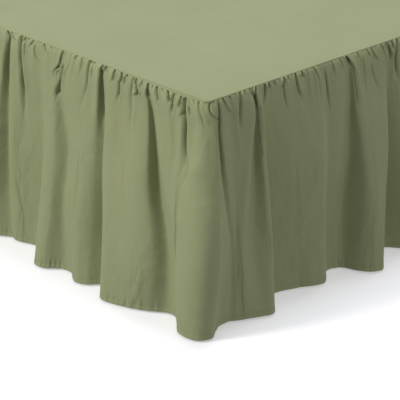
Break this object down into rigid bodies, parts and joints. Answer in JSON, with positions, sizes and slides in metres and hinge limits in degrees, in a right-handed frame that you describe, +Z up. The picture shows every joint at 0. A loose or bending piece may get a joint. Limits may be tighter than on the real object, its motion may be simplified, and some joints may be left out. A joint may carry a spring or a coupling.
{
  "type": "gathered bed skirt on a bed base",
  "caption": "Gathered cloth skirt with a flat deck panel, laid over a plain bed base, hanging in uneven folds from the deck's edge to just above the floor.",
  "frame": {"origin": "on the floor, under the middle of the whole outline", "axes": "+Z up, +Y from the foot of the bed to its open head end, +X to the side on the right of the foot"},
  "size_m": [1.1356, 1.9791, 0.381],
  "materials": {
    "sage_cloth": "smooth woven cotton, matt with a faint sheen",
    "base_ticking": "plain woven ticking, matt",
    "leg_wood": "satin lacquer"
  },
  "bodies": {
    "root": {"deck_panel": "sage_cloth", "skirt_foot": "sage_cloth", "skirt_left_side": "sage_cloth", "skirt_right_side": "sage_cloth", "base_box": "base_ticking", "base_leg_1": "leg_wood", "base_leg_2": "leg_wood", "base_leg_3": "leg_wood", "base_leg_4": "leg_wood", "base_leg_5": "leg_wood", "base_leg_6": "leg_wood"}
  },
  "joints": []
}
